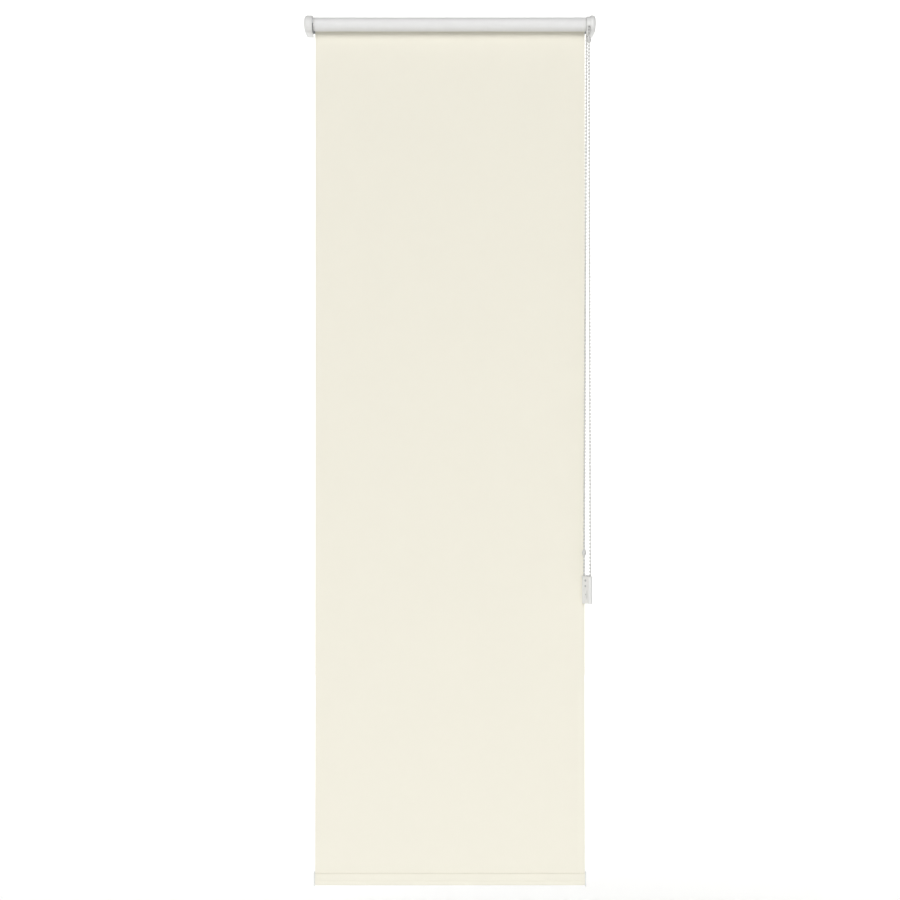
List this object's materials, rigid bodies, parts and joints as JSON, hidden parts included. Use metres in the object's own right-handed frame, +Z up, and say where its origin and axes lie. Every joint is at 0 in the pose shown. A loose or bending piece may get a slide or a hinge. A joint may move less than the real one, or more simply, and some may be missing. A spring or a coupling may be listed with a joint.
{
  "type": "roller blind",
  "caption": "Chain-operated roller blind with wall brackets, hanging fabric, bottom hem bar and a wall-fixed chain tensioner.",
  "frame": {"origin": "point on the wall plane midway between the two brackets, at the height of the roller's axis", "axes": "+X along the roller towards the chain, -Y into the room, +Y into the wall, +Z up"},
  "size_m": [0.5, 0.047, 1.499],
  "materials": {
    "steel": "zinc plated",
    "spring_steel": "drawn wire",
    "aluminium": "extruded, satin",
    "white_plastic": "moulded satin",
    "grey_plastic": "moulded satin",
    "chain_plastic": "moulded semi-gloss",
    "cloth_front": "plain weave",
    "cloth_back": "coated weave"
  },
  "bodies": {
    "wall_side": {"bracket_plate_left": "steel", "bracket_plate_right": "steel", "bracket_cover_left": "white_plastic", "bracket_cover_right": "white_plastic", "clutch_core": "white_plastic", "core_clip": "spring_steel", "chain_guard": "white_plastic", "fabric_panel": "cloth_front", "chain_over_sprocket": "chain_plastic", "chain_front_run": "chain_plastic", "chain_rear_run": "chain_plastic", "chain_under_pulley": "chain_plastic", "tensioner_body": "white_plastic", "tensioner_cover": "white_plastic", "tensioner_axle": "steel", "tensioner_screw_1": "steel", "tensioner_screw_2": "steel"},
    "roller": {"roller_tube": "aluminium", "fabric_roll": "cloth_back", "idle_plug": "grey_plastic", "idle_plug_cap": "grey_plastic", "drive_hub": "grey_plastic", "wrap_spring_1": "spring_steel", "wrap_spring_2": "spring_steel", "wrap_spring_3": "spring_steel"},
    "sprocket": {"sprocket": "grey_plastic"},
    "idle_pin": {"idle_pin": "steel", "idle_spring": "spring_steel"},
    "hem": {"hem_pocket": "cloth_front", "hem_bar": "aluminium", "hem_cap_left": "grey_plastic", "hem_cap_right": "grey_plastic"},
    "front_stop": {"chain_stop_front": "chain_plastic"},
    "rear_stop": {"chain_stop_rear": "chain_plastic"},
    "pulley": {"tensioner_pulley": "grey_plastic"}
  },
  "joints": [
    {"name": "roller_spin", "type": "hinge", "parent": "wall_side", "child": "roller", "pos_m": [0, -0.032, 0], "axis": [1, 0, 0], "range_deg": [0, 5270]},
    {"name": "sprocket_spin", "type": "hinge", "parent": "wall_side", "child": "sprocket", "pos_m": [0.2382, -0.032, 0], "axis": [1, 0, 0], "range_deg": [0, 5280]},
    {"name": "blind_lift", "type": "slide", "parent": "wall_side", "child": "hem", "axis": [0, 0, 1], "range_m": [0, 1.381], "deforming": ["fabric_panel"]},
    {"name": "front_stop_slide", "type": "slide", "parent": "wall_side", "child": "front_stop", "axis": [0.0023, -0.0011, -1], "range_m": [0, 0.8795]},
    {"name": "rear_stop_slide", "type": "slide", "parent": "wall_side", "child": "rear_stop", "axis": [0.0046, 0.0018, 1], "range_m": [0, 0.8795]},
    {"name": "pulley_spin", "type": "hinge", "parent": "wall_side", "child": "pulley", "pos_m": [0.2355, -0.0346, -0.979], "axis": [0.8526, 0.5225, 0], "range_deg": [0, 5600]},
    {"name": "idle_pin_press", "type": "slide", "parent": "wall_side", "child": "idle_pin", "axis": [1, 0, 0], "range_m": [0, 0.006], "stiffness_N_per_m": 400, "springref_m": -0.004, "deforming": ["idle_spring"]}
  ],
  "couplings": [
    {"joint": "sprocket_spin", "follows": "roller_spin", "ratio": 1},
    {"joint": "blind_lift", "follows": "roller_spin", "m_per_rad": 0.015},
    {"joint": "front_stop_slide", "follows": "roller_spin", "m_per_rad": 0.0095493},
    {"joint": "rear_stop_slide", "follows": "roller_spin", "m_per_rad": 0.0095493},
    {"joint": "pulley_spin", "follows": "roller_spin", "ratio": 1.061}
  ]
}
